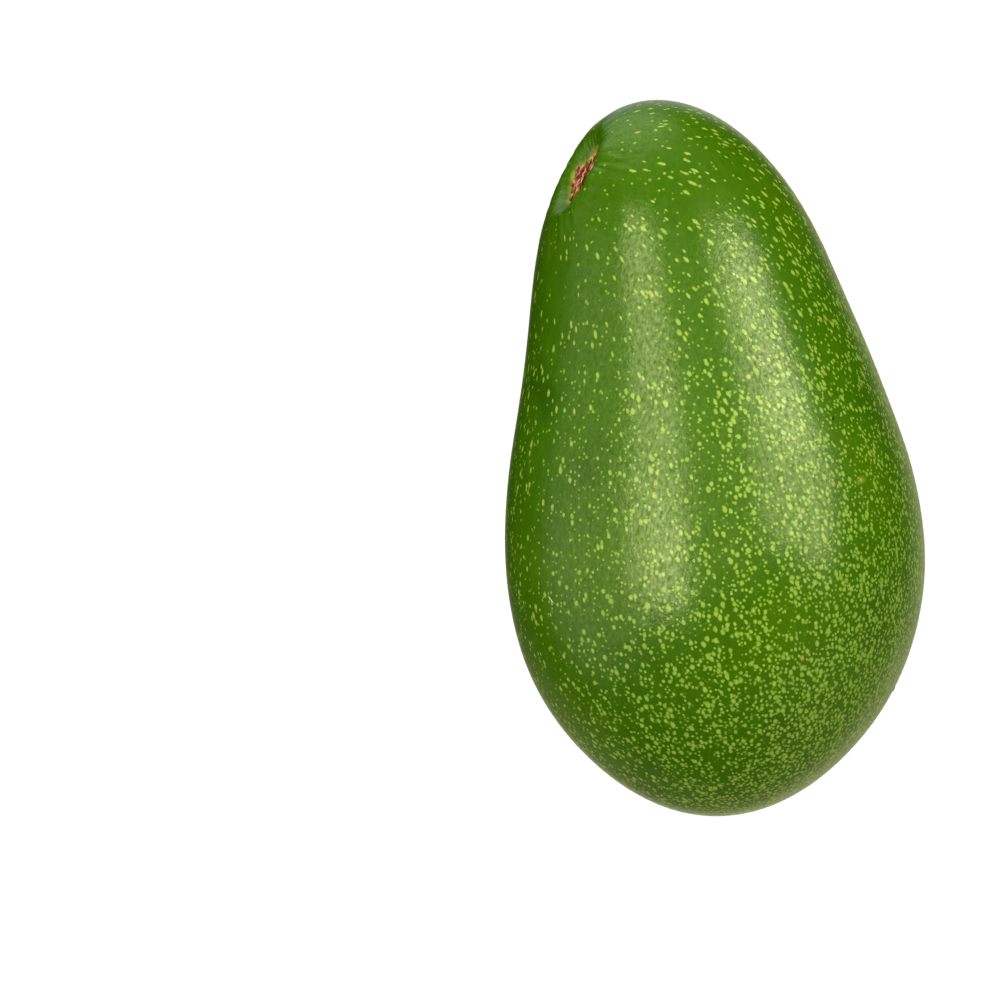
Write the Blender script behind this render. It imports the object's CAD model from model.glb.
"""A smooth green avocado lying on its flank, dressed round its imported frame.

The fruit's skin is grown from its solid by Geometry Nodes, and so are the lenticels on it, the
torn fibres of the stem scar and the crust of the style scar. Lengths are in metres unless a name
ends in _mm, and +Z is up.
"""

import logging
import math
from abc import ABC, abstractmethod
from dataclasses import dataclass, field
from enum import Enum
from typing import Any

import bmesh
import bpy
import numpy as np
from mathutils import Matrix, Vector


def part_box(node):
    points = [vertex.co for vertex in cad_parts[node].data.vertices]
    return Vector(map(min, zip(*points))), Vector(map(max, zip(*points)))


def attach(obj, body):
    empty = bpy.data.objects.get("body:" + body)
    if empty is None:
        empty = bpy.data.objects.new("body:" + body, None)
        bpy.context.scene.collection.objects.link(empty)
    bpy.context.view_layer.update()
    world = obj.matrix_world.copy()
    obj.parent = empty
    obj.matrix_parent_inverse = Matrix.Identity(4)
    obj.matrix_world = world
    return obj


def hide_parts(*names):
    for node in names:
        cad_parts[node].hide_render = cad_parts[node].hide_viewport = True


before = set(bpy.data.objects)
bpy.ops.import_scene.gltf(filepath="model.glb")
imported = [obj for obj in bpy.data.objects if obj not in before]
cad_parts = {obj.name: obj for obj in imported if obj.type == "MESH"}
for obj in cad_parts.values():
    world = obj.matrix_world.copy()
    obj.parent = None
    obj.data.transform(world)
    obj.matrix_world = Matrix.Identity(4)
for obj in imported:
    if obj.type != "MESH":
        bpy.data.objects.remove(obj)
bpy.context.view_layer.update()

LOG = logging.getLogger("avocado")
MM = 0.001
IMAGE_PX = 1000
BODY = "root"
MERGE_WITHIN = 0.002 * MM
PAIR_BEND_DEG = 40
PAIR_SKEW_DEG = 60

# Node types and settings that come up often. A noise centres on 0.5, so the ramps on it run round that.
MATH, VECTOR_MATH, RANGE = "ShaderNodeMath", "ShaderNodeVectorMath", "ShaderNodeMapRange"
NOISE, MIX, MAPPING = "ShaderNodeTexNoise", "ShaderNodeMix", "ShaderNodeMapping"
SEPARATE, ATTRIBUTE = "ShaderNodeSeparateXYZ", "ShaderNodeAttribute"
MOVE, STORE = "GeometryNodeSetPosition", "GeometryNodeStoreNamedAttribute"
RANDOM = "FunctionNodeRandomValue"
DOT = {"out": "Value", "operation": "DOT_PRODUCT"}
LENGTH = {"out": "Value", "operation": "LENGTH"}
TIMES = {"operation": "MULTIPLY"}
SMOOTHLY = {"interpolation_type": "SMOOTHSTEP"}
IN_COLOUR = {"out": 2, "data_type": "RGBA"}


class Slot(Enum):
    """The record's material slots."""

    SKIN = "skin"
    STEM_WOOD = "stem_wood"
    STYLE_WOOD = "style_wood"


def linear(hex_colour: str) -> tuple[float, float, float, float]:
    """Turns an sRGB hex colour into linear light.

    Args:
        hex_colour: six hex digits with a leading hash.

    Returns:
        Red, green, blue and an alpha of one.
    """
    channels = [int(hex_colour[i : i + 2], 16) / 255 for i in (1, 3, 5)]
    r, g, b = (c / 12.92 if c <= 0.04045 else ((c + 0.055) / 1.055) ** 2.4 for c in channels)
    return r, g, b, 1.0


def add(
    tree: bpy.types.NodeTree,
    kind: str,
    inputs: dict[int | str, Any] | None = None,
    out: int | str = 0,
    **settings: Any,
) -> Any:
    """Adds a node with its settings and links.

    Args:
        tree: the shader or geometry tree.
        kind: the node's type name.
        inputs: an input's name or number to the socket it is linked from, or its own value.
        out: the output that is wanted.
        settings: the node's properties.

    Returns:
        That output socket, or None for a node with no outputs.
    """
    node = tree.nodes.new(kind)
    for name, value in settings.items():
        setattr(node, name, value)
    for key, value in (inputs or {}).items():
        if isinstance(value, bpy.types.NodeSocket):
            tree.links.new(value, node.inputs[key])
        else:
            node.inputs[key].default_value = value
    return node.outputs[out] if len(node.outputs) else None


@dataclass(frozen=True)
class Ramp:
    """A value that runs evenly from one level to another while its driver runs over a window."""

    start: float
    stop: float
    low: float = 0.0
    high: float = 1.0

    def over(self, driver: Any) -> dict[int, Any]:
        """The inputs of a map-range node that is driven by a socket."""
        return {0: driver, 1: self.start, 2: self.stop, 3: self.low, 4: self.high}


@dataclass(frozen=True)
class Noise:
    """A random pattern: its real grain size, and how many finer sizes it holds."""

    size_mm: float
    detail: float

    def at(self, place: Any) -> dict[str, Any]:
        """The inputs of a noise node that is read at a position."""
        return {"Vector": place, "Scale": 1 / (self.size_mm * MM), "Detail": self.detail}


class Growth:
    """A Geometry Nodes tree with named inputs, which grows a piece's mesh."""

    KINDS = {
        float: "NodeSocketFloat",
        int: "NodeSocketInt",
        Vector: "NodeSocketVector",
        bpy.types.Object: "NodeSocketObject",
        bpy.types.Material: "NodeSocketMaterial",
    }

    def __init__(self, name: str, sizes: dict[str, Any]) -> None:
        """Opens the tree.

        Args:
            name: the tree's name.
            sizes: each named input and its value.
        """
        self.tree = bpy.data.node_groups.new(name, "GeometryNodeTree")
        self.values: dict[str, Any] = {}
        self.tree.interface.new_socket("Geometry", in_out="INPUT", socket_type="NodeSocketGeometry")
        for label, value in sizes.items():
            kind = self.KINDS[type(value)]
            socket = self.tree.interface.new_socket(label, in_out="INPUT", socket_type=kind)
            self.values[socket.identifier] = value
        self.tree.interface.new_socket("Geometry", in_out="OUTPUT", socket_type="NodeSocketGeometry")
        self.given = self.tree.nodes.new("NodeGroupInput").outputs

    def __call__(
        self, kind: str, inputs: dict[int | str, Any] | None = None, out: int | str = 0, **settings: Any
    ) -> Any:
        """Adds a node to the tree, as add does."""
        return add(self.tree, kind, inputs, out, **settings)

    def grow(self, piece: bpy.types.Object, geometry: bpy.types.NodeSocket) -> bpy.types.Object:
        """Ends the tree in plain geometry and leaves its result as the piece's mesh.

        Args:
            piece: the object whose mesh the tree starts from.
            geometry: the socket that holds the result.

        Returns:
            The same object, with the grown mesh and no modifier.
        """
        real = self("GeometryNodeRealizeInstances", {"Geometry": geometry})
        dressed = self("GeometryNodeSetMaterial", {"Geometry": real, "Material": self.given["Material"]})
        add(self.tree, "NodeGroupOutput", {0: dressed})
        modifier = piece.modifiers.new(self.tree.name, "NODES")
        modifier.node_group = self.tree
        for identifier, value in self.values.items():
            modifier[identifier] = value
        evaluated = piece.evaluated_get(bpy.context.evaluated_depsgraph_get())
        grown = bpy.data.meshes.new_from_object(evaluated)
        piece.modifiers.remove(modifier)
        grown.name = piece.name
        piece.data = grown
        return piece


@dataclass(frozen=True)
class Seat:
    """Where a scar sits: its middle, the way out of the fruit, and the ways along and across it."""

    point: Vector
    out: Vector
    along: Vector
    across: Vector

    @classmethod
    def of(cls, node: str) -> "Seat":
        """Reads a seat from the spread of a scar's own vertices.

        Args:
            node: the scar's CAD node.

        Returns:
            Its seat, with the normal pointing away from the middle of the fruit.
        """
        corners = np.array([tuple(v.co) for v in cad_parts[node].data.vertices])
        middle = corners.mean(axis=0)
        _, axes = np.linalg.eigh(np.cov((corners - middle).T))
        low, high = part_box("fruit")
        out = Vector(axes[:, 0])
        if out.dot(Vector(middle) - (low + high) / 2) < 0:
            out = -out
        along = Vector(axes[:, 2])
        if along.y < 0:
            along = -along
        return cls(Vector(middle), out, along, along.cross(out))


def merged_copy(node: str, name: str) -> bpy.types.Object:
    """Copies a CAD node's mesh, merges its loose triangles and pairs them into quads.

    Args:
        node: the CAD node.
        name: the new piece's name.

    Returns:
        A new object at the origin, linked to the scene.
    """
    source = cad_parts[node]
    shape = bmesh.new()
    shape.from_mesh(source.data)
    shape.transform(source.matrix_world)
    bmesh.ops.remove_doubles(shape, verts=shape.verts, dist=MERGE_WITHIN)
    bmesh.ops.join_triangles(
        shape,
        faces=shape.faces,
        angle_face_threshold=math.radians(PAIR_BEND_DEG),
        angle_shape_threshold=math.radians(PAIR_SKEW_DEG),
    )
    mesh = bpy.data.meshes.new(name)
    shape.to_mesh(mesh)
    shape.free()
    piece = bpy.data.objects.new(name, mesh)
    bpy.context.collection.objects.link(piece)
    return piece


class Finish(ABC):
    """A real surface finish, which makes its own material."""

    @property
    @abstractmethod
    def name(self) -> str:
        """The finish's plain name."""

    @abstractmethod
    def dress(self, tree: bpy.types.NodeTree, place: Any, surface: bpy.types.Node) -> None:
        """Links the finish's pattern to the surface shader.

        Args:
            tree: the material's tree.
            place: the object coordinates.
            surface: the Principled shader.
        """

    def material(self) -> bpy.types.Material:
        """Makes the material on object coordinates.

        Returns:
            The new material.
        """
        material = bpy.data.materials.new(self.name)
        material.use_nodes = True
        tree = material.node_tree
        place = add(tree, "ShaderNodeTexCoord", out="Object")
        self.dress(tree, place, tree.nodes["Principled BSDF"])
        return material


@dataclass(frozen=True)
class Blemish:
    """A small mark in the skin: a speck, a dark hair line, a crease, a dry scratch or a faint patch."""

    place_mm: tuple[float, float, float]
    turn_deg: float
    length_mm: float
    width_mm: float
    colour: str
    strength: float = 0.9
    soft: float = 0.6
    depth_mm: float = 4

    def lay(self, tree: bpy.types.NodeTree, place: Any, colour: Any) -> Any:
        """Lays the mark over a colour.

        Args:
            tree: the material's tree.
            place: the object coordinates.
            colour: the colour under the mark.

        Returns:
            The mixed colour.
        """
        half = (self.length_mm / 2 * MM, self.width_mm / 2 * MM, self.depth_mm / 2 * MM)
        sited = {"Vector": place, "Location": Vector(self.place_mm) * MM, "Scale": half}
        sited["Rotation"] = (0.0, 0.0, math.radians(self.turn_deg))
        inside = add(tree, MAPPING, sited, vector_type="TEXTURE")
        away = add(tree, VECTOR_MATH, {0: inside}, **LENGTH)
        amount = Ramp(1.0, 1 - self.soft, 0.0, self.strength).over(away)
        amount = add(tree, RANGE, amount, **SMOOTHLY)
        return add(tree, MIX, {0: amount, 6: colour, 7: linear(self.colour)}, **IN_COLOUR)


@dataclass(frozen=True)
class WaxySkin(Finish):
    """Thin waxed fruit skin over green flesh: even, deep colour under a satin natural wax."""

    neck: Vector
    flesh: str = "#345A02"
    shade: str = "#284B02"
    sunned: str = "#3E5F02"
    fleck: str = "#7A9C2E"
    border: str = "#7E8A1E"
    dried: str = "#33260F"
    patches: Noise = Noise(21, 3)
    in_shade: Ramp = Ramp(0.42, 0.3, 0.0, 0.85)
    in_sun: Ramp = Ramp(0.5, 0.72, 0.0, 0.9)
    streaks: Noise = Noise(0.9, 2)
    streak_pull: float = 0.09
    streaked: Ramp = Ramp(0.25, 0.75, 0.9, 1.1)
    # Each set of flecks: spacing in mm, radius over spacing, and share of places filled at the blunt end
    fleck_sets: tuple[tuple[float, float, float], ...] = ((0.75, 0.42, 1.0), (1.2, 0.34, 0.65))
    fleck_strength: float = 0.9
    fleck_core: float = 0.3
    neck_share: float = 0.11
    base_reach: float = 0.9
    fleck_side: Ramp = Ramp(-30 * MM, 14 * MM, 0.35, 1.15)
    frayed: Noise = Noise(1.1, 2)
    fray: float = 1.2 * MM
    border_way: Ramp = Ramp(2.2 * MM, 1.1 * MM, 0.0, 0.9)
    dried_way: Ramp = Ramp(2.7 * MM, 2.0 * MM, 0.0, 0.95)
    grain: Noise = Noise(0.38, 2)
    grain_depth: float = 0.028 * MM
    satin: Ramp = Ramp(0.3, 0.7, 0.17, 0.27)
    peel: Noise = Noise(1.5, 1)
    peel_depth: float = 0.06 * MM
    wax: Noise = Noise(0.5, 3)
    wax_pull: float = 0.5
    wax_sheen: Ramp = Ramp(0.3, 0.7, 0.2, 1.0)
    ior: float = 1.45
    gloss_tint: tuple[float, ...] = (0.95, 1.0, 0.45, 1.0)
    curl_mm: float = 0.3
    curling: Noise = Noise(1.4, 0)
    # Each mark's place, turn, length, width and colour, and its strength and softness where they differ
    blemishes: tuple[Blemish, ...] = (
        Blemish((18.4, 12.8, 55.2), 80, 1.1, 0.6, "#0E0C04"),
        Blemish((8.1, 4.1, 64.4), 0, 0.44, 0.4, "#241A08"),
        Blemish((8.8, 3.9, 64.3), 0, 0.5, 0.46, "#241A08"),
        Blemish((9.8, 2.5, 64.5), 0, 0.62, 0.56, "#241A08"),
        Blemish((-9.0, 22.9, 57.3), -27, 2.0, 0.45, "#223004"),
        Blemish((-10.3, 22.3, 57.2), -55, 0.9, 0.55, "#223004"),
        Blemish((-11.5, 22.5, 56.7), 22, 0.8, 0.42, "#2C3E06"),
        Blemish((-9.3, 22.3, 57.4), -64, 1.5, 0.4, "#2C3E06", 0.7),
        Blemish((-7.9, 19.1, 58.9), -40, 1.2, 0.5, "#223004"),
        Blemish((-8.2, 18.6, 59.1), 0, 1.2, 0.46, "#223004"),
        Blemish((-8.7, 18.0, 59.2), -25, 1.8, 0.4, "#2C3E06", 0.8),
        Blemish((12.0, -2.2, 65.3), -77, 5.2, 0.46, "#1C3A02", 0.7),
        Blemish((12.7, -6.4, 66.1), -86, 3.8, 0.65, "#1C3A02", 0.7),
        Blemish((2.5, 6.1, 64.7), 80, 2.0, 0.4, "#A8BE6A", 0.7),
        Blemish((-28.6, -18.0, 55.4), -50, 1.9, 0.34, "#B8CC80", 0.8),
        Blemish((-23.3, -19.4, 60.4), 0, 0.5, 0.45, "#7A5A1A"),
        Blemish((23.1, 2.7, 56.9), 20, 3.6, 1.9, "#96A030", 0.4, 0.9),
    )

    @property
    def name(self) -> str:
        """The finish's plain name."""
        return "waxed green fruit skin"

    def colour(self, tree: bpy.types.NodeTree, place: Any) -> Any:
        """Lays the skin's colour: broad patches, fine streaks from the stem and flecks.

        Args:
            tree: the material's tree.
            place: the object coordinates.

        Returns:
            The colour socket.
        """
        patch = add(tree, NOISE, self.patches.at(place))
        shade = add(tree, RANGE, self.in_shade.over(patch))
        sunned = add(tree, RANGE, self.in_sun.over(patch))
        tone = add(tree, MIX, {0: shade, 6: linear(self.flesh), 7: linear(self.shade)}, **IN_COLOUR)
        tone = add(tree, MIX, {0: sunned, 6: tone, 7: linear(self.sunned)}, **IN_COLOUR)
        drawn = add(tree, MAPPING, {"Vector": place, "Scale": (1.0, self.streak_pull, 1.0)})
        streak = add(tree, NOISE, self.streaks.at(drawn))
        level = add(tree, RANGE, self.streaked.over(streak))
        tone = add(tree, VECTOR_MATH, {0: tone, "Scale": level}, operation="SCALE")
        fine, coarse = (self.flecks(tree, place, *one) for one in self.fleck_sets)
        amount = add(tree, MATH, {0: fine, 1: coarse}, operation="MAXIMUM")
        return add(tree, MIX, {0: amount, 6: tone, 7: linear(self.fleck)}, **IN_COLOUR)

    def flecks(
        self, tree: bpy.types.NodeTree, place: Any, cell_mm: float, reach: float, share: float
    ) -> Any:
        """Scatters small soft lenticels, few at the neck and many at the blunt end.

        Args:
            tree: the material's tree.
            place: the object coordinates.
            cell_mm: the mean spacing.
            reach: the radius over the spacing.
            share: the share of the places that hold one at the blunt end.

        Returns:
            How far each point is inside one, from none to one.
        """
        cell = add(tree, "ShaderNodeTexVoronoi", {"Vector": place, "Scale": 1 / (cell_mm * MM)}, "Distance")
        inside = Ramp(reach, reach * self.fleck_core, 0.0, self.fleck_strength).over(cell)
        inside = add(tree, RANGE, inside, **SMOOTHLY)
        chance = add(tree, "ShaderNodeSeparateColor", {0: cell.node.outputs["Color"]})
        where = add(tree, SEPARATE, {0: place})
        lower = Ramp(self.neck.y, -self.neck.y * self.base_reach, self.neck_share, share)
        lower = add(tree, RANGE, lower.over(where.node.outputs["Y"]))
        side = add(tree, RANGE, self.fleck_side.over(where))
        lower = add(tree, MATH, {0: lower, 1: side}, **TIMES)
        kept = add(tree, MATH, {0: chance, 1: lower}, operation="LESS_THAN")
        return add(tree, MATH, {0: inside, 1: kept}, **TIMES)

    def tinted(self, tree: bpy.types.NodeTree, place: Any, colour: Any) -> Any:
        """Adds the ragged yellow-green border round the stem scar and the dried one round the style scar.

        Args:
            tree: the material's tree.
            place: the object coordinates.
            colour: the skin's colour.

        Returns:
            The mixed colour.
        """
        ragged = add(tree, NOISE, self.frayed.at(place))
        borders = (("scar_way", self.border_way, self.border), ("style_way", self.dried_way, self.dried))
        for way, ramp, hue in borders:
            near = add(tree, ATTRIBUTE, attribute_name=way, out="Fac")
            near = add(tree, MATH, {0: ragged, 1: self.fray, 2: near}, operation="MULTIPLY_ADD")
            edge = add(tree, RANGE, ramp.over(near))
            colour = add(tree, MIX, {0: edge, 6: colour, 7: linear(hue)}, **IN_COLOUR)
        return self.marked(tree, place, colour)

    def marked(self, tree: bpy.types.NodeTree, place: Any, colour: Any) -> Any:
        """Lays every blemish, each a little curled.

        Args:
            tree: the material's tree.
            place: the object coordinates.
            colour: the skin's colour.

        Returns:
            The mixed colour.
        """
        curl = add(tree, NOISE, self.curling.at(place), "Color")
        curl = add(tree, VECTOR_MATH, {0: curl, 1: (0.5, 0.5, 0.5)}, operation="SUBTRACT")
        curl = add(tree, VECTOR_MATH, {0: curl, "Scale": self.curl_mm * MM}, operation="SCALE")
        curled = add(tree, VECTOR_MATH, {0: place, 1: curl}, operation="ADD")
        for blemish in self.blemishes:
            colour = blemish.lay(tree, curled, colour)
        return colour

    def facing(self, tree: bpy.types.NodeTree) -> dict[str, Any]:
        """The bump's normal input, left at the mesh's own for bare skin."""
        return {}

    def dress(self, tree: bpy.types.NodeTree, place: Any, surface: bpy.types.Node) -> None:
        """Links the skin's colour, its fine grain and its orange peel to the shader.

        Args:
            tree: the material's tree.
            place: the object coordinates.
            surface: the Principled shader.
        """
        tree.links.new(self.tinted(tree, place, self.colour(tree, place)), surface.inputs["Base Color"])
        grain = add(tree, NOISE, self.grain.at(place))
        peel = add(tree, NOISE, self.peel.at(place))
        rough = add(tree, RANGE, self.satin.over(grain))
        tree.links.new(rough, surface.inputs["Roughness"])
        fine = {"Strength": 1.0, "Distance": self.grain_depth, "Height": grain, **self.facing(tree)}
        fine = add(tree, "ShaderNodeBump", fine)
        bump = {"Strength": 0.6, "Distance": self.peel_depth, "Height": peel, "Normal": fine}
        tree.links.new(add(tree, "ShaderNodeBump", bump), surface.inputs["Normal"])
        drawn = add(tree, MAPPING, {"Vector": place, "Scale": (1.0, self.wax_pull, 1.0)})
        wax = add(tree, NOISE, self.wax.at(drawn))
        sheen = add(tree, RANGE, self.wax_sheen.over(wax))
        tree.links.new(sheen, surface.inputs["Specular IOR Level"])
        surface.inputs["IOR"].default_value = self.ior
        surface.inputs["Specular Tint"].default_value = self.gloss_tint


@dataclass(frozen=True)
class LenticelSkin(WaxySkin):
    """The same skin over a lenticel: corky yellow-green tissue that shows through and fades at its rim."""

    pale: str = "#89A33A"
    green: str = "#77982F"
    corky: str = "#8C7A28"
    aged: Ramp = Ramp(0.98, 0.99, 0.0, 0.55)
    raggedness: Noise = Noise(0.45, 1)
    ragged: float = 0.5
    fainter: Ramp = Ramp(8 * MM, 28 * MM, 1.0, 0.68)
    rim: Ramp = Ramp(0.5, 0.98)

    @property
    def name(self) -> str:
        """The finish's plain name."""
        return "corky lenticel under waxed skin"

    def facing(self, tree: bpy.types.NodeTree) -> dict[str, Any]:
        """The bump's normal input, taken from the skin under the lenticel, which lies flush in it."""
        skin = {"Vector": add(tree, ATTRIBUTE, attribute_name="skin_normal", out="Vector")}
        turned = {"vector_type": "NORMAL", "convert_from": "OBJECT", "convert_to": "WORLD"}
        return {"Normal": add(tree, "ShaderNodeVectorTransform", skin, **turned)}

    def tinted(self, tree: bpy.types.NodeTree, place: Any, colour: Any) -> Any:
        """Fades the lenticel's colour in from its rim.

        Args:
            tree: the material's tree.
            place: the object coordinates.
            colour: the bare skin's colour.

        Returns:
            The mixed colour.
        """
        tint = add(tree, ATTRIBUTE, attribute_name="tint", out="Fac")
        disc = add(tree, ATTRIBUTE, attribute_name="disc", out="Vector")
        disc = add(tree, VECTOR_MATH, {0: disc}, **LENGTH)
        crown = add(tree, MATH, {0: 1.0, 1: disc}, operation="SUBTRACT")
        tone = add(tree, MIX, {0: tint, 6: linear(self.green), 7: linear(self.pale)}, **IN_COLOUR)
        aged = add(tree, RANGE, self.aged.over(tint))
        tone = add(tree, MIX, {0: aged, 6: tone, 7: linear(self.corky)}, **IN_COLOUR)
        ragged = add(tree, NOISE, self.raggedness.at(place))
        crown = add(tree, MATH, {0: ragged, 1: self.ragged, 2: crown}, operation="MULTIPLY_ADD")
        across = add(tree, SEPARATE, {"Vector": place}, "X")
        faint = add(tree, RANGE, self.fainter.over(across))
        fade = add(tree, RANGE, {**self.rim.over(crown), 4: faint}, **SMOOTHLY)
        colour = add(tree, MIX, {0: fade, 6: colour, 7: tone}, **IN_COLOUR)
        return self.marked(tree, place, colour)


@dataclass(frozen=True)
class TornWood(Finish):
    """Dry woody stem tissue, torn along its fibres: dull red-brown with dark crevices and tan tips."""

    along: Vector
    out: Vector
    point: Vector
    crevice: str = "#2A0E06"
    wood: str = "#82401F"
    tip: str = "#D29C70"
    fibres: Noise = Noise(0.45, 3)
    fibre_pull: float = -0.85
    pile: Ramp = Ramp(0.0, 0.5 * MM, -0.16, 0.05)
    in_crevice: Ramp = Ramp(0.49, 0.37)
    at_tip: Ramp = Ramp(0.52, 0.68)
    dryness: Ramp = Ramp(0.3, 0.7, 0.85, 0.6)
    relief: float = 0.12 * MM

    @property
    def name(self) -> str:
        """The finish's plain name."""
        return "torn dry stem wood"

    def dress(self, tree: bpy.types.NodeTree, place: Any, surface: bpy.types.Node) -> None:
        """Links fibre streaks along the scar to colour, roughness and bump.

        Args:
            tree: the material's tree.
            place: the object coordinates.
            surface: the Principled shader.
        """
        way = add(tree, VECTOR_MATH, {0: place, 1: self.along}, **DOT)
        shift = add(tree, MATH, {0: way, 1: self.fibre_pull}, **TIMES)
        slide = add(tree, VECTOR_MATH, {0: self.along, "Scale": shift}, operation="SCALE")
        drawn = add(tree, VECTOR_MATH, {0: place, 1: slide}, operation="ADD")
        fibre = add(tree, NOISE, self.fibres.at(drawn))
        level = add(tree, VECTOR_MATH, {0: place, 1: self.point}, operation="SUBTRACT")
        level = add(tree, VECTOR_MATH, {0: level, 1: self.out}, **DOT)
        level = add(tree, RANGE, self.pile.over(level))
        fibre = add(tree, MATH, {0: fibre, 1: level}, operation="ADD")
        dark = add(tree, RANGE, self.in_crevice.over(fibre))
        light = add(tree, RANGE, self.at_tip.over(fibre))
        tone = add(tree, MIX, {0: dark, 6: linear(self.wood), 7: linear(self.crevice)}, **IN_COLOUR)
        tone = add(tree, MIX, {0: light, 6: tone, 7: linear(self.tip)}, **IN_COLOUR)
        tree.links.new(tone, surface.inputs["Base Color"])
        rough = add(tree, RANGE, self.dryness.over(fibre))
        tree.links.new(rough, surface.inputs["Roughness"])
        bump = add(tree, "ShaderNodeBump", {"Strength": 0.9, "Distance": self.relief, "Height": fibre})
        tree.links.new(bump, surface.inputs["Normal"])
        surface.inputs["Specular IOR Level"].default_value = 0.2


@dataclass(frozen=True)
class DryCrust(Finish):
    """A dried flower style: dull dark crust with paler cracks."""

    crust: str = "#2A2013"
    crack: str = "#6B5632"
    cracks: Noise = Noise(0.5, 4)
    cracked: Ramp = Ramp(0.5, 0.68)
    dryness: Ramp = Ramp(0.3, 0.7, 0.9, 0.65)
    relief: float = 0.1 * MM

    @property
    def name(self) -> str:
        """The finish's plain name."""
        return "dried style crust"

    def dress(self, tree: bpy.types.NodeTree, place: Any, surface: bpy.types.Node) -> None:
        """Links a cracked pattern to colour, roughness and bump.

        Args:
            tree: the material's tree.
            place: the object coordinates.
            surface: the Principled shader.
        """
        grain = add(tree, NOISE, self.cracks.at(place))
        pale = add(tree, RANGE, self.cracked.over(grain))
        tone = add(tree, MIX, {0: pale, 6: linear(self.crust), 7: linear(self.crack)}, **IN_COLOUR)
        tree.links.new(tone, surface.inputs["Base Color"])
        rough = add(tree, RANGE, self.dryness.over(grain))
        tree.links.new(rough, surface.inputs["Roughness"])
        bump = add(tree, "ShaderNodeBump", {"Strength": 0.8, "Distance": self.relief, "Height": grain})
        tree.links.new(bump, surface.inputs["Normal"])


@dataclass(frozen=True)
class LitPanel(Finish):
    """Backlit white studio panel: even light from within, with a trace of tooth in its diffusing sheet."""

    white: str = "#FFFFFF"
    sheet: str = "#303030"
    tooth: Noise = Noise(2, 2)
    evenness: Ramp = Ramp(0.3, 0.7, 1.0, 1.02)
    dullness: Ramp = Ramp(0.3, 0.7, 0.85, 0.95)

    @property
    def name(self) -> str:
        """The finish's plain name."""
        return "backlit white studio panel"

    def dress(self, tree: bpy.types.NodeTree, place: Any, surface: bpy.types.Node) -> None:
        """Links the tooth to glow, colour and roughness.

        Args:
            tree: the material's tree.
            place: the object coordinates.
            surface: the Principled shader.
        """
        tooth = add(tree, NOISE, self.tooth.at(place))
        level = add(tree, RANGE, self.evenness.over(tooth))
        for colour, socket in ((self.white, "Emission Color"), (self.sheet, "Base Color")):
            flat = Vector(linear(colour)[:3])
            tone = add(tree, VECTOR_MATH, {0: flat, "Scale": level}, operation="SCALE")
            tree.links.new(tone, surface.inputs[socket])
        rough = add(tree, RANGE, self.dullness.over(tooth))
        tree.links.new(rough, surface.inputs["Roughness"])
        surface.inputs["Specular IOR Level"].default_value = 0.1
        surface.inputs["Emission Strength"].default_value = 1.0


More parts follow.
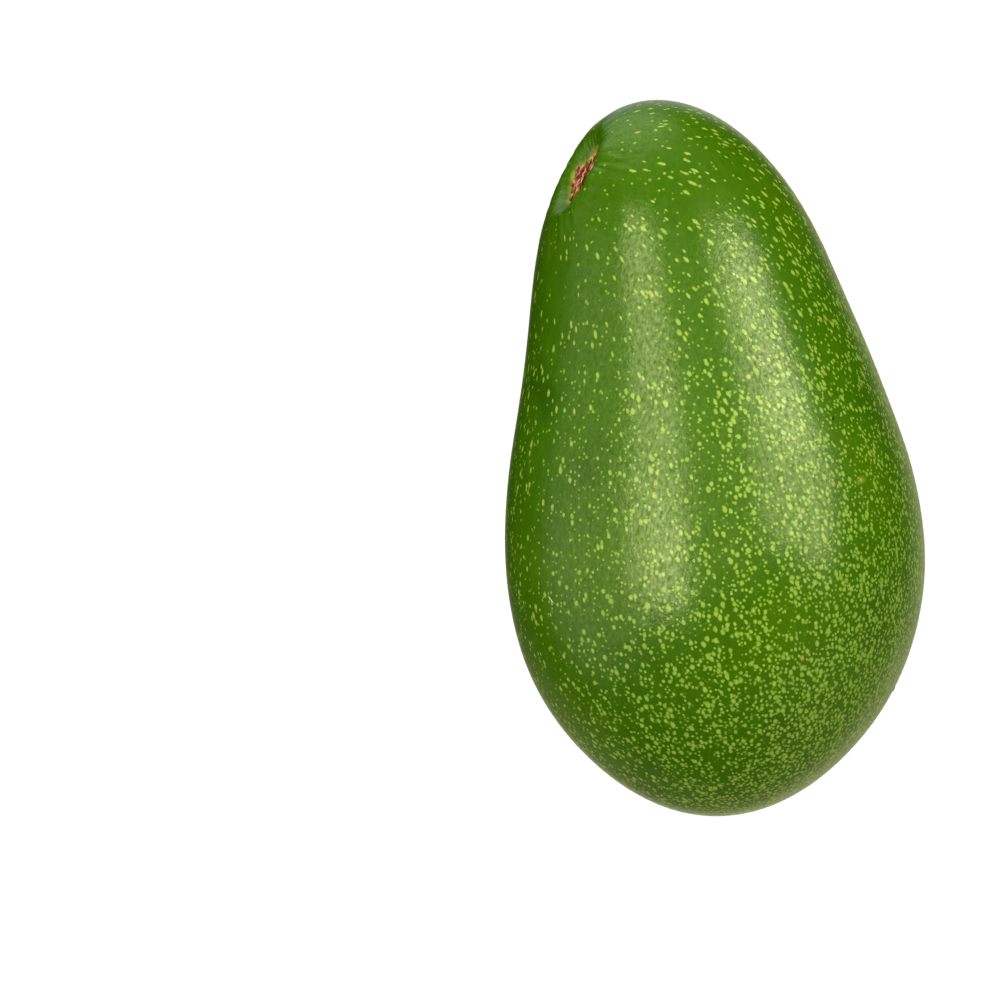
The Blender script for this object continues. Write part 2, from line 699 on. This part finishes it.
@dataclass
class Fruit:
    """The fruit: its smooth skin and the lenticels on it."""

    stem: Seat
    style: Seat
    # Skin: low swellings all over, and folds that run out from the stem
    subdivisions: int = 2
    undulation: float = 0.07 * MM
    swellings: Noise = Noise(16, 1)
    pucker: float = 0.05 * MM
    folds_per_radian: float = 3.1
    fold_scale: float = 2.1
    fold_drift_mm: float = 9
    folded: Ramp = Ramp(0.35, 0.65, -1.0, 1.0)
    fold_start: Ramp = Ramp(4.5 * MM, 7 * MM)
    fold_end: Ramp = Ramp(19 * MM, 9 * MM)
    off_floor: Ramp = Ramp(0.1 * MM, 3 * MM)
    # Lenticels: one's size, how many there are by place, and how they are drawn out at the neck
    radius: float = 0.76 * MM
    rise: float = 0.03 * MM
    sink: float = 0.008 * MM
    spacing: float = 0.7 * MM
    most_per_mm2: float = 2
    seed: int = 11
    facets: int = 6
    rings: int = 2
    keel: float = -2.0
    neck_share: Ramp = Ramp(12 * MM, 62 * MM, 0.18, 0.34)
    base_share: Ramp = Ramp(60 * MM, 112 * MM, 0.0, 0.5)
    side_share: Ramp = Ramp(-24 * MM, 20 * MM, 0.42, 1.35)
    clusters: Noise = Noise(5, 2)
    clustered: Ramp = Ramp(0.3, 0.7, 0.5, 1.5)
    off_stem: Ramp = Ramp(9 * MM, 15 * MM)
    off_style: Ramp = Ramp(2 * MM, 4 * MM)
    off_rest: Ramp = Ramp(0.3 * MM, 1.5 * MM)
    sizes: Ramp = Ramp(0.0, 1.0, 0.45, 1.0)
    mostly_small: float = 1.5
    small_at_neck: Ramp = Ramp(12 * MM, 45 * MM, 0.66, 1.0)
    longest: float = 1.6
    drawn_at_neck: Ramp = Ramp(15 * MM, 60 * MM, 1.9, 1.0)
    size_seed: int = 3
    stretch_seed: int = 5
    tint_seed: int = 9
    skin: bpy.types.Object = field(init=False)

    def build_skin(self) -> bpy.types.Object:
        """Grows the skin: the solid made smooth, with low swellings and puckers round the stem.

        Returns:
            The skin piece.
        """
        growth = Growth(
            "avocado skin",
            {
                "Levels": self.subdivisions,
                "Undulation": self.undulation,
                "Pucker": self.pucker,
                "Stem point": self.stem.point,
                "Stem along": self.stem.along,
                "Stem across": self.stem.across,
                "Stem scar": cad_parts["stem_scar"],
                "Style scar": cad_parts["style_scar"],
                "Material": WaxySkin(self.stem.point).material(),
            },
        )
        given = growth.given
        smooth = {"Mesh": given["Geometry"], "Level": given["Levels"]}
        smooth = growth("GeometryNodeSubdivisionSurface", smooth)
        place = growth("GeometryNodeInputPosition")
        low = growth(NOISE, self.swellings.at(place))
        low = growth(MATH, {0: low, 1: 0.5}, operation="SUBTRACT")
        low = growth(MATH, {0: low, 1: given["Undulation"]}, **TIMES)
        away = growth(VECTOR_MATH, {0: place, 1: given["Stem point"]}, operation="SUBTRACT")
        along = growth(VECTOR_MATH, {0: away, 1: given["Stem along"]}, **DOT)
        across = growth(VECTOR_MATH, {0: away, 1: given["Stem across"]}, **DOT)
        far = growth(VECTOR_MATH, {0: away}, **LENGTH)
        turn = growth(MATH, {0: across, 1: along}, operation="ARCTAN2")
        ray = growth(MATH, {0: turn, 1: self.folds_per_radian}, **TIMES)
        drift = growth(MATH, {0: far, 1: 1 / (self.fold_drift_mm * MM)}, **TIMES)
        ray = growth("ShaderNodeCombineXYZ", {0: ray, 1: drift})
        fold = {"Vector": ray, "Scale": self.fold_scale, "Detail": 1.0}
        fold = growth(NOISE, fold, noise_dimensions="2D")
        fold = growth(RANGE, self.folded.over(fold))
        start = growth(RANGE, self.fold_start.over(far), **SMOOTHLY)
        stop = growth(RANGE, self.fold_end.over(far), **SMOOTHLY)
        window = growth(MATH, {0: start, 1: stop}, **TIMES)
        fold = growth(MATH, {0: fold, 1: window}, **TIMES)
        rise = growth(MATH, {0: fold, 1: given["Pucker"], 2: low}, operation="MULTIPLY_ADD")
        above = growth(SEPARATE, {0: place}, "Z")
        off_floor = growth(RANGE, self.off_floor.over(above))
        rise = growth(MATH, {0: rise, 1: off_floor}, **TIMES)
        normal = growth("GeometryNodeInputNormal")
        push = growth(VECTOR_MATH, {0: normal, "Scale": rise}, operation="SCALE")
        swelled = growth(MOVE, {"Geometry": smooth, "Offset": push})
        for name, label in (("scar_way", "Stem scar"), ("style_way", "Style scar")):
            scar = growth("GeometryNodeObjectInfo", {"Object": given[label]}, "Geometry")
            way = growth("GeometryNodeProximity", {0: scar}, "Distance", target_element="FACES")
            swelled = growth(STORE, {"Geometry": swelled, "Name": name, "Value": way})
        shaded = growth("GeometryNodeSetShadeSmooth", {"Geometry": swelled})
        self.skin = growth.grow(merged_copy("fruit", "avocado_skin"), shaded)
        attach(self.skin, BODY)
        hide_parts("fruit")
        return self.skin

    def share(self, growth: Growth, place: Any, far: Any) -> Any:
        """Gives the share of places that hold a lenticel: few at the neck, many at the blunt end.

        Args:
            growth: the lenticels' tree.
            place: the position on the skin.
            far: the distance from the stem.

        Returns:
            The share, from none to one.
        """
        below = {0: place, 1: growth.given["Style point"]}
        below = growth(VECTOR_MATH, below, "Value", operation="DISTANCE")
        neck = growth(RANGE, self.neck_share.over(far))
        base = growth(RANGE, self.base_share.over(far), **SMOOTHLY)
        share = growth(MATH, {0: neck, 1: base}, operation="ADD")
        side = growth(SEPARATE, {0: place})
        cluster = growth(NOISE, self.clusters.at(place))
        drivers = (
            (self.side_share, side),
            (self.clustered, cluster),
            (self.off_stem, far),
            (self.off_style, below),
            (self.off_rest, side.node.outputs["Z"]),
        )
        for ramp, driver in drivers:
            part = growth(RANGE, ramp.over(driver))
            share = growth(MATH, {0: share, 1: part}, **TIMES)
        share.node.use_clamp = True
        return share

    def dome(self, growth: Growth) -> Any:
        """Makes one lenticel: a low cone of unit radius, which keeps its level and its plan as attributes.

        Args:
            growth: the lenticels' tree.

        Returns:
            The cone, whose keel lies under the skin.
        """
        place = growth("GeometryNodeInputPosition")
        dome = {"Vertices": self.facets, "Side Segments": self.rings, "Radius Bottom": 1.0, "Depth": 1.0}
        dome = growth("GeometryNodeMeshCone", dome, fill_type="TRIANGLE_FAN")
        # The middle of the base sinks as a keel, and only the faces above the skin are shaded smooth
        level = growth(SEPARATE, {0: place}, "Z")
        aside = growth(VECTOR_MATH, {0: place}, **LENGTH)
        keel = growth(MATH, {0: aside, 1: 0.1}, operation="LESS_THAN")
        level = growth(MATH, {0: keel, 1: self.keel, 2: level}, operation="MULTIPLY_ADD")
        dome = growth(STORE, {"Geometry": dome, "Name": "crown", "Value": level})
        plan = growth(VECTOR_MATH, {0: place, 1: (1.0, 1.0, 0.0)}, **TIMES)
        dome = growth(STORE, {"Geometry": dome, "Name": "disc", "Value": plan}, data_type="FLOAT_VECTOR")
        sides = growth(SEPARATE, {0: growth("GeometryNodeInputNormal")}, "Z")
        sides = growth(MATH, {0: sides, 1: -0.5}, operation="GREATER_THAN")
        return growth("GeometryNodeSetShadeSmooth", {"Geometry": dome, "Shade Smooth": sides})

    def drape(self, growth: Growth, real: Any, place: Any) -> Any:
        """Lays the lenticels' meshes on the skin, so that each follows its curve.

        Args:
            growth: the lenticels' tree.
            real: the lenticels' meshes.
            place: the position.

        Returns:
            The draped geometry, which keeps the skin's own normal as an attribute.
        """
        given = growth.given
        normal = growth("GeometryNodeInputNormal")
        under = {"Mesh": given["Geometry"], "Value": normal, "Sample Position": place}
        under = growth("GeometryNodeSampleNearestSurface", under, data_type="FLOAT_VECTOR")
        facing = {"Geometry": real, "Name": "skin_normal", "Value": under}
        facing = growth(STORE, facing, data_type="FLOAT_VECTOR")
        crown = growth("GeometryNodeInputNamedAttribute", {"Name": "crown"}, data_type="FLOAT")
        height = growth(MATH, {0: given["Rise"], 1: given["Sink"]}, operation="ADD")
        height = growth(MATH, {0: crown, 1: height}, **TIMES)
        height = growth(MATH, {0: height, 1: given["Sink"]}, operation="SUBTRACT")
        under = {"Name": "skin_normal"}
        under = growth("GeometryNodeInputNamedAttribute", under, data_type="FLOAT_VECTOR")
        lift = growth(VECTOR_MATH, {0: under, "Scale": height}, operation="SCALE")
        foot = {"Target": given["Geometry"], "Sample Position": place}
        foot = growth("GeometryNodeProximity", foot, "Position", target_element="FACES")
        foot = growth(VECTOR_MATH, {0: foot, 1: lift}, operation="ADD")
        return growth(MOVE, {"Geometry": facing, "Position": foot})

    def build_lenticels(self) -> bpy.types.Object:
        """Scatters lenticels: long and sparse at the neck, round and dense towards the blunt end.

        Returns:
            The lenticel piece.
        """
        growth = Growth(
            "avocado lenticels",
            {
                "Spacing": self.spacing,
                "Radius": self.radius,
                "Rise": self.rise,
                "Sink": self.sink,
                "Seed": self.seed,
                "Stem point": self.stem.point,
                "Style point": self.style.point,
                "Material": LenticelSkin(self.stem.point).material(),
            },
        )
        given = growth.given
        place = growth("GeometryNodeInputPosition")
        away = growth(VECTOR_MATH, {0: place, 1: given["Stem point"]}, operation="SUBTRACT")
        far = growth(VECTOR_MATH, {0: away}, **LENGTH)
        scatter = growth(
            "GeometryNodeDistributePointsOnFaces",
            {
                "Mesh": given["Geometry"],
                "Distance Min": given["Spacing"],
                "Density Max": self.most_per_mm2 / MM**2,
                "Density Factor": self.share(growth, place, far),
                "Seed": given["Seed"],
            },
            distribute_method="POISSON",
        )
        normal = scatter.node.outputs["Normal"]
        upright = growth("FunctionNodeAlignRotationToVector", {"Vector": normal}, axis="Z")
        turned = growth(
            "FunctionNodeAlignRotationToVector",
            {"Rotation": upright, "Vector": away},
            axis="X",
            pivot_axis="Z",
        )
        size = growth(RANDOM, {2: 0.0, 3: 1.0, "Seed": self.size_seed}, 1)
        size = growth(MATH, {0: size, 1: self.mostly_small}, operation="POWER")
        size = growth(RANGE, self.sizes.over(size))
        size = growth(MATH, {0: size, 1: given["Radius"]}, **TIMES)
        slight = growth(RANGE, self.small_at_neck.over(far))
        size = growth(MATH, {0: size, 1: slight}, **TIMES)
        stretch = growth(RANDOM, {2: 1.0, 3: self.longest, "Seed": self.stretch_seed}, 1)
        drawn = growth(RANGE, self.drawn_at_neck.over(far))
        stretch = growth(MATH, {0: stretch, 1: drawn}, **TIMES)
        length = growth(MATH, {0: size, 1: stretch}, **TIMES)
        scale = growth("ShaderNodeCombineXYZ", {0: length, 1: size, 2: given["Rise"]})
        placed = growth(
            "GeometryNodeInstanceOnPoints",
            {"Points": scatter, "Instance": self.dome(growth), "Rotation": turned, "Scale": scale},
        )
        tint = growth(RANDOM, {2: 0.0, 3: 1.0, "Seed": self.tint_seed}, 1)
        tinted = growth(STORE, {"Geometry": placed, "Name": "tint", "Value": tint}, domain="INSTANCE")
        real = growth("GeometryNodeRealizeInstances", {"Geometry": tinted})
        start = bpy.data.objects.new("avocado_lenticels", self.skin.data.copy())
        bpy.context.collection.objects.link(start)
        piece = growth.grow(start, self.drape(growth, real, place))
        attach(piece, BODY)
        return piece


@dataclass
class StemScar:
    """The torn stem: a furrowed plate with loose fibres on it."""

    seat: Seat
    # Lengths and girths are shares of the fibre's own, and the tilt is a share of its length
    furrow: float = 0.34 * MM
    fibre_radius: float = 0.27 * MM
    fibre_length: float = 2.6 * MM
    spacing: float = 0.65 * MM
    subdivisions: int = 2
    ridges: Noise = Noise(0.8, 3)
    ridge_pull: float = -0.8
    furrowed: Ramp = Ramp(0.35, 0.65, -2.0, 0.3)
    upward: Ramp = Ramp(0.0, 0.6)
    bare_below: float = 0.35
    most_per_mm2: float = 5
    tilt: float = 0.5
    lengths: tuple[float, float] = (0.5, 1.2)
    girths: tuple[float, float] = (0.6, 1.3)
    sides: int = 5
    joints: int = 8
    wandering: Noise = Noise(1.3, 2)
    wander: float = 1.7 * MM
    seed: int = 4
    tilt_seed: int = 2
    length_seed: int = 6
    girth_seed: int = 8

    def build(self) -> bpy.types.Object:
        """Grows the plate's furrows and the fibres.

        Returns:
            The scar piece.
        """
        growth = Growth(
            "torn stem",
            {
                "Furrow": self.furrow,
                "Fibre radius": self.fibre_radius,
                "Fibre length": self.fibre_length,
                "Spacing": self.spacing,
                "Seed": self.seed,
                "Along": self.seat.along,
                "Out": self.seat.out,
                "Material": TornWood(self.seat.along, self.seat.out, self.seat.point).material(),
            },
        )
        given = growth.given
        smooth = {"Mesh": given["Geometry"], "Level": self.subdivisions}
        smooth = growth("GeometryNodeSubdivisionSurface", smooth)
        place = growth("GeometryNodeInputPosition")
        normal = growth("GeometryNodeInputNormal")
        way = growth(VECTOR_MATH, {0: place, 1: given["Along"]}, **DOT)
        way = growth(MATH, {0: way, 1: self.ridge_pull}, **TIMES)
        slide = growth(VECTOR_MATH, {0: given["Along"], "Scale": way}, operation="SCALE")
        drawn = growth(VECTOR_MATH, {0: place, 1: slide}, operation="ADD")
        ridge = growth(NOISE, self.ridges.at(drawn))
        facing = growth(VECTOR_MATH, {0: normal, 1: given["Out"]}, **DOT)
        top = growth(RANGE, self.upward.over(facing))
        depth = growth(RANGE, self.furrowed.over(ridge))
        depth = growth(MATH, {0: depth, 1: given["Furrow"]}, **TIMES)
        depth = growth(MATH, {0: depth, 1: top}, **TIMES)
        push = growth(VECTOR_MATH, {0: given["Out"], "Scale": depth}, operation="SCALE")
        plate = growth(MOVE, {"Geometry": smooth, "Offset": push})
        above = growth(MATH, {0: facing, 1: self.bare_below}, operation="GREATER_THAN")
        scatter = growth(
            "GeometryNodeDistributePointsOnFaces",
            {
                "Mesh": plate,
                "Selection": above,
                "Distance Min": given["Spacing"],
                "Density Max": self.most_per_mm2 / MM**2,
                "Seed": given["Seed"],
            },
            distribute_method="POISSON",
        )
        tilt = {0: (-self.tilt,) * 3, 1: (self.tilt,) * 3, "Seed": self.tilt_seed}
        tilt = growth(RANDOM, tilt, data_type="FLOAT_VECTOR")
        lay = growth(VECTOR_MATH, {0: given["Along"], 1: tilt}, operation="ADD")
        upright = growth("FunctionNodeAlignRotationToVector", {"Vector": lay}, axis="X")
        length = growth(RANDOM, {2: self.lengths[0], 3: self.lengths[1], "Seed": self.length_seed}, 1)
        length = growth(MATH, {0: length, 1: given["Fibre length"]}, **TIMES)
        girth = growth(RANDOM, {2: self.girths[0], 3: self.girths[1], "Seed": self.girth_seed}, 1)
        girth = growth(MATH, {0: girth, 1: given["Fibre radius"]}, **TIMES)
        scale = growth("ShaderNodeCombineXYZ", {0: length, 1: girth, 2: girth})
        line = {"Start": (-0.5, 0.0, 0.0), "End": (0.5, 0.0, 0.0)}
        line = growth("GeometryNodeCurvePrimitiveLine", line)
        line = growth("GeometryNodeResampleCurve", {"Curve": line, "Count": self.joints})
        step = growth("GeometryNodeSplineParameter")
        taper = growth(RANGE, Ramp(0.0, 1.0, 0.0, math.pi).over(step))
        taper = growth(MATH, {0: taper}, operation="SINE")
        taper = growth(MATH, {0: taper, 1: 0.5}, operation="POWER")
        ring = growth("GeometryNodeCurvePrimitiveCircle", {"Resolution": self.sides, "Radius": 1.0})
        strand = growth(
            "GeometryNodeCurveToMesh",
            {"Curve": line, "Profile Curve": ring, "Scale": taper, "Fill Caps": True},
        )
        fibres = growth(
            "GeometryNodeInstanceOnPoints",
            {"Points": scatter, "Instance": strand, "Rotation": upright, "Scale": scale},
        )
        fibres = growth("GeometryNodeRealizeInstances", {"Geometry": fibres})
        wander = growth(NOISE, self.wandering.at(place), "Color")
        wander = growth(VECTOR_MATH, {0: wander, 1: (0.5, 0.5, 0.5)}, operation="SUBTRACT")
        wander = growth(VECTOR_MATH, {0: wander, "Scale": self.wander}, operation="SCALE")
        fibres = growth(MOVE, {"Geometry": fibres, "Offset": wander})
        whole = growth("GeometryNodeJoinGeometry")
        growth.tree.links.new(plate, whole.node.inputs[0])
        growth.tree.links.new(fibres, whole.node.inputs[0])
        shaded = growth("GeometryNodeSetShadeSmooth", {"Geometry": whole})
        piece = growth.grow(merged_copy("stem_scar", "stem_scar_fibres"), shaded)
        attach(piece, BODY)
        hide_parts("stem_scar")
        return piece


@dataclass
class StyleScar:
    """The dried style: a small cracked crust."""

    crumble: float = 0.16 * MM
    lumps: Noise = Noise(0.6, 3)
    lumpy: Ramp = Ramp(0.3, 0.7, -1.0, 0.2)
    subdivisions: int = 2

    def build(self) -> bpy.types.Object:
        """Grows the crust's broken surface.

        Returns:
            The scar piece.
        """
        growth = Growth("dried style", {"Crumble": self.crumble, "Material": DryCrust().material()})
        given = growth.given
        smooth = {"Mesh": given["Geometry"], "Level": self.subdivisions}
        smooth = growth("GeometryNodeSubdivisionSurface", smooth)
        place = growth("GeometryNodeInputPosition")
        lump = growth(NOISE, self.lumps.at(place))
        lump = growth(RANGE, self.lumpy.over(lump))
        lump = growth(MATH, {0: lump, 1: given["Crumble"]}, **TIMES)
        normal = growth("GeometryNodeInputNormal")
        push = growth(VECTOR_MATH, {0: normal, "Scale": lump}, operation="SCALE")
        broken = growth(MOVE, {"Geometry": smooth, "Offset": push})
        shaded = growth("GeometryNodeSetShadeSmooth", {"Geometry": broken})
        piece = growth.grow(merged_copy("style_scar", "style_scar_crust"), shaded)
        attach(piece, BODY)
        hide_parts("style_scar")
        return piece


def heading(turn_deg: float, tilt_deg: float) -> Vector:
    """Gives a direction in the camera's own axes.

    Args:
        turn_deg: the turn to the picture's right, from the way back to the camera.
        tilt_deg: the tilt towards the picture's top.

    Returns:
        The direction as a unit vector.
    """
    turn, tilt = math.radians(turn_deg), math.radians(tilt_deg)
    return Vector((math.sin(turn) * math.cos(tilt), math.sin(tilt), math.cos(turn) * math.cos(tilt)))


@dataclass(frozen=True)
class Softbox:
    """A soft light, placed by its turn and tilt about the fruit as the camera sees it.

    One that isn't mirrored lights the skin and makes no reflection in its wax.
    """

    name: str
    turn_deg: float
    tilt_deg: float
    roll_deg: float
    distance: float
    width: float
    length: float
    radiance: float
    mirrored: bool = True

    def build(self, middle: Vector, looking: Matrix) -> None:
        """Hangs the light.

        Args:
            middle: the fruit's middle.
            looking: the camera's turn, with +Z towards the camera and +Y up in the picture.
        """
        way = looking @ heading(self.turn_deg, self.tilt_deg)
        light = bpy.data.lights.new(self.name, "AREA")
        light.shape = "RECTANGLE"
        light.size = self.width
        light.size_y = self.length
        light.energy = self.radiance * math.pi * self.width * self.length
        lamp = bpy.data.objects.new(self.name, light)
        right = (looking @ Vector((0, 1, 0))).cross(way).normalized()
        right.rotate(Matrix.Rotation(-math.radians(self.roll_deg), 3, way))
        turned = Matrix((right, way.cross(right), way)).transposed().to_4x4()
        lamp.matrix_world = Matrix.Translation(middle + way * self.distance) @ turned
        lamp.visible_glossy = self.mirrored
        bpy.context.collection.objects.link(lamp)


@dataclass(frozen=True)
class Glow:
    """A soft patch of light from the studio round the fruit, such as a wall or the lit table."""

    name: str
    turn_deg: float
    tilt_deg: float
    core_deg: float
    reach_deg: float
    radiance: float
    colour: str = "#FFFFFF"

    def build(self, tree: bpy.types.NodeTree, seen: Any, looking: Matrix) -> Any:
        """Adds the patch to the world's tree.

        Args:
            tree: the world's tree.
            seen: the direction in which the world is seen.
            looking: the camera's turn, with +Z towards the camera and +Y up in the picture.

        Returns:
            The patch's light in that direction, as a colour.
        """
        way = looking @ heading(self.turn_deg, self.tilt_deg)
        near = add(tree, VECTOR_MATH, {0: seen, 1: way}, **DOT)
        core, reach = math.cos(math.radians(self.core_deg)), math.cos(math.radians(self.reach_deg))
        level = Ramp(reach, core, 0.0, self.radiance).over(near)
        level = add(tree, RANGE, level, **SMOOTHLY)
        hue = Vector(linear(self.colour)[:3])
        return add(tree, VECTOR_MATH, {0: hue, "Scale": level}, operation="SCALE")


@dataclass
class Studio:
    """The camera over the fruit, the soft lights and the lit white panel under it."""

    pitch_deg: float = -10
    px_per_mm: float = 5.769
    eye_from_middle: Vector = field(default_factory=lambda: Vector((-37.32, -6.74, 597.4)) * MM)
    board: float = 6.0
    board_under: float = 0.1 * MM
    lights: tuple[Softbox, ...] = (
        Softbox("left softbox", -34.5, 9, 0, 2.0, 1.0, 2.2, 4.5),
        Softbox("left softbox core", -29, -6, 0, 2.0, 0.5, 0.9, 3.0),
        Softbox("right softbox", 44, 18, 18, 2.0, 1.5, 1.3, 4.6),
        Softbox("right softbox core", 53, 33, 0, 2.0, 0.8, 0.4, 6.0),
        Softbox("overhead fill", 10, 75, 0, 2.0, 2.4, 1.2, 5.4, mirrored=False),
        Softbox("bounce, right", 62, -44, 0, 2.0, 1.4, 1.6, 1.7, mirrored=False),
        Softbox("bounce, left", -70, -20, 0, 2.0, 1.2, 2.0, 0.5, mirrored=False),
        Softbox("bounce, near", 0, -70, 0, 2.0, 2.4, 1.0, 0.4, mirrored=False),
    )
    glows: tuple[Glow, ...] = (
        Glow("front wall", -4, 14, 8, 34, 0.9),
        Glow("left wall", -70, -6, 14, 40, 1.05),
        Glow("table, right and far", 160, -8, 12, 42, 0.5, "#FFFFC8"),
        Glow("table, lower right", 112, -38, 10, 45, 0.25, "#FFFFBE"),
        Glow("table, left and far", -165, -42, 10, 45, 0.3, "#FFFFBE"),
        Glow("ceiling, left", -115, 72, 10, 34, 1.15),
        Glow("ceiling, far", 180, 34, 10, 26, 0.5),
    )

    def build(self) -> None:
        """Sets up the camera, the lights, the world and the panel."""
        low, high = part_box("fruit")
        middle = (low + high) / 2
        looking = Matrix.Rotation(math.radians(self.pitch_deg), 3, "X")
        camera = bpy.data.cameras.new("camera")
        camera.lens = self.px_per_mm / MM * self.eye_from_middle.z * camera.sensor_width / IMAGE_PX
        camera.clip_start = 0.01
        eye = bpy.data.objects.new("camera", camera)
        eye.matrix_world = Matrix.Translation(middle + looking @ self.eye_from_middle) @ looking.to_4x4()
        bpy.context.collection.objects.link(eye)
        bpy.context.scene.camera = eye
        for light in self.lights:
            light.build(middle, looking)
        world = bpy.data.worlds.new("studio air")
        world.use_nodes = True
        tree = world.node_tree
        seen = add(tree, "ShaderNodeTexCoord", out="Generated")
        sky = Vector()
        for glow in self.glows:
            sky = add(tree, VECTOR_MATH, {0: glow.build(tree, seen, looking), 1: sky}, operation="ADD")
        tree.links.new(sky, tree.nodes["Background"].inputs["Color"])
        bpy.context.scene.world = world
        bpy.context.scene.view_settings.view_transform = "Standard"
        half = self.board / 2
        corners = [(x * half, y * half, -self.board_under) for x, y in ((-1, -1), (1, -1), (1, 1), (-1, 1))]
        mesh = bpy.data.meshes.new("board")
        mesh.from_pydata(corners, [], [(0, 1, 2, 3)])
        mesh.materials.append(LitPanel().material())
        board = bpy.data.objects.new("board", mesh)
        bpy.context.collection.objects.link(board)
        board.visible_glossy = False
        board.visible_diffuse = False


def main() -> None:
    """Builds the studio and every piece, and reports each."""
    logging.basicConfig(level=logging.INFO, format="%(message)s")
    Studio().build()
    stem, style = Seat.of("stem_scar"), Seat.of("style_scar")
    fruit = Fruit(stem, style)
    for piece in (fruit.build_skin(), fruit.build_lenticels(), StemScar(stem).build(), StyleScar().build()):
        piece.data.calc_loop_triangles()
        LOG.info("%s: %d triangles", piece.name, len(piece.data.loop_triangles))


if __name__ == "__main__":
    main()
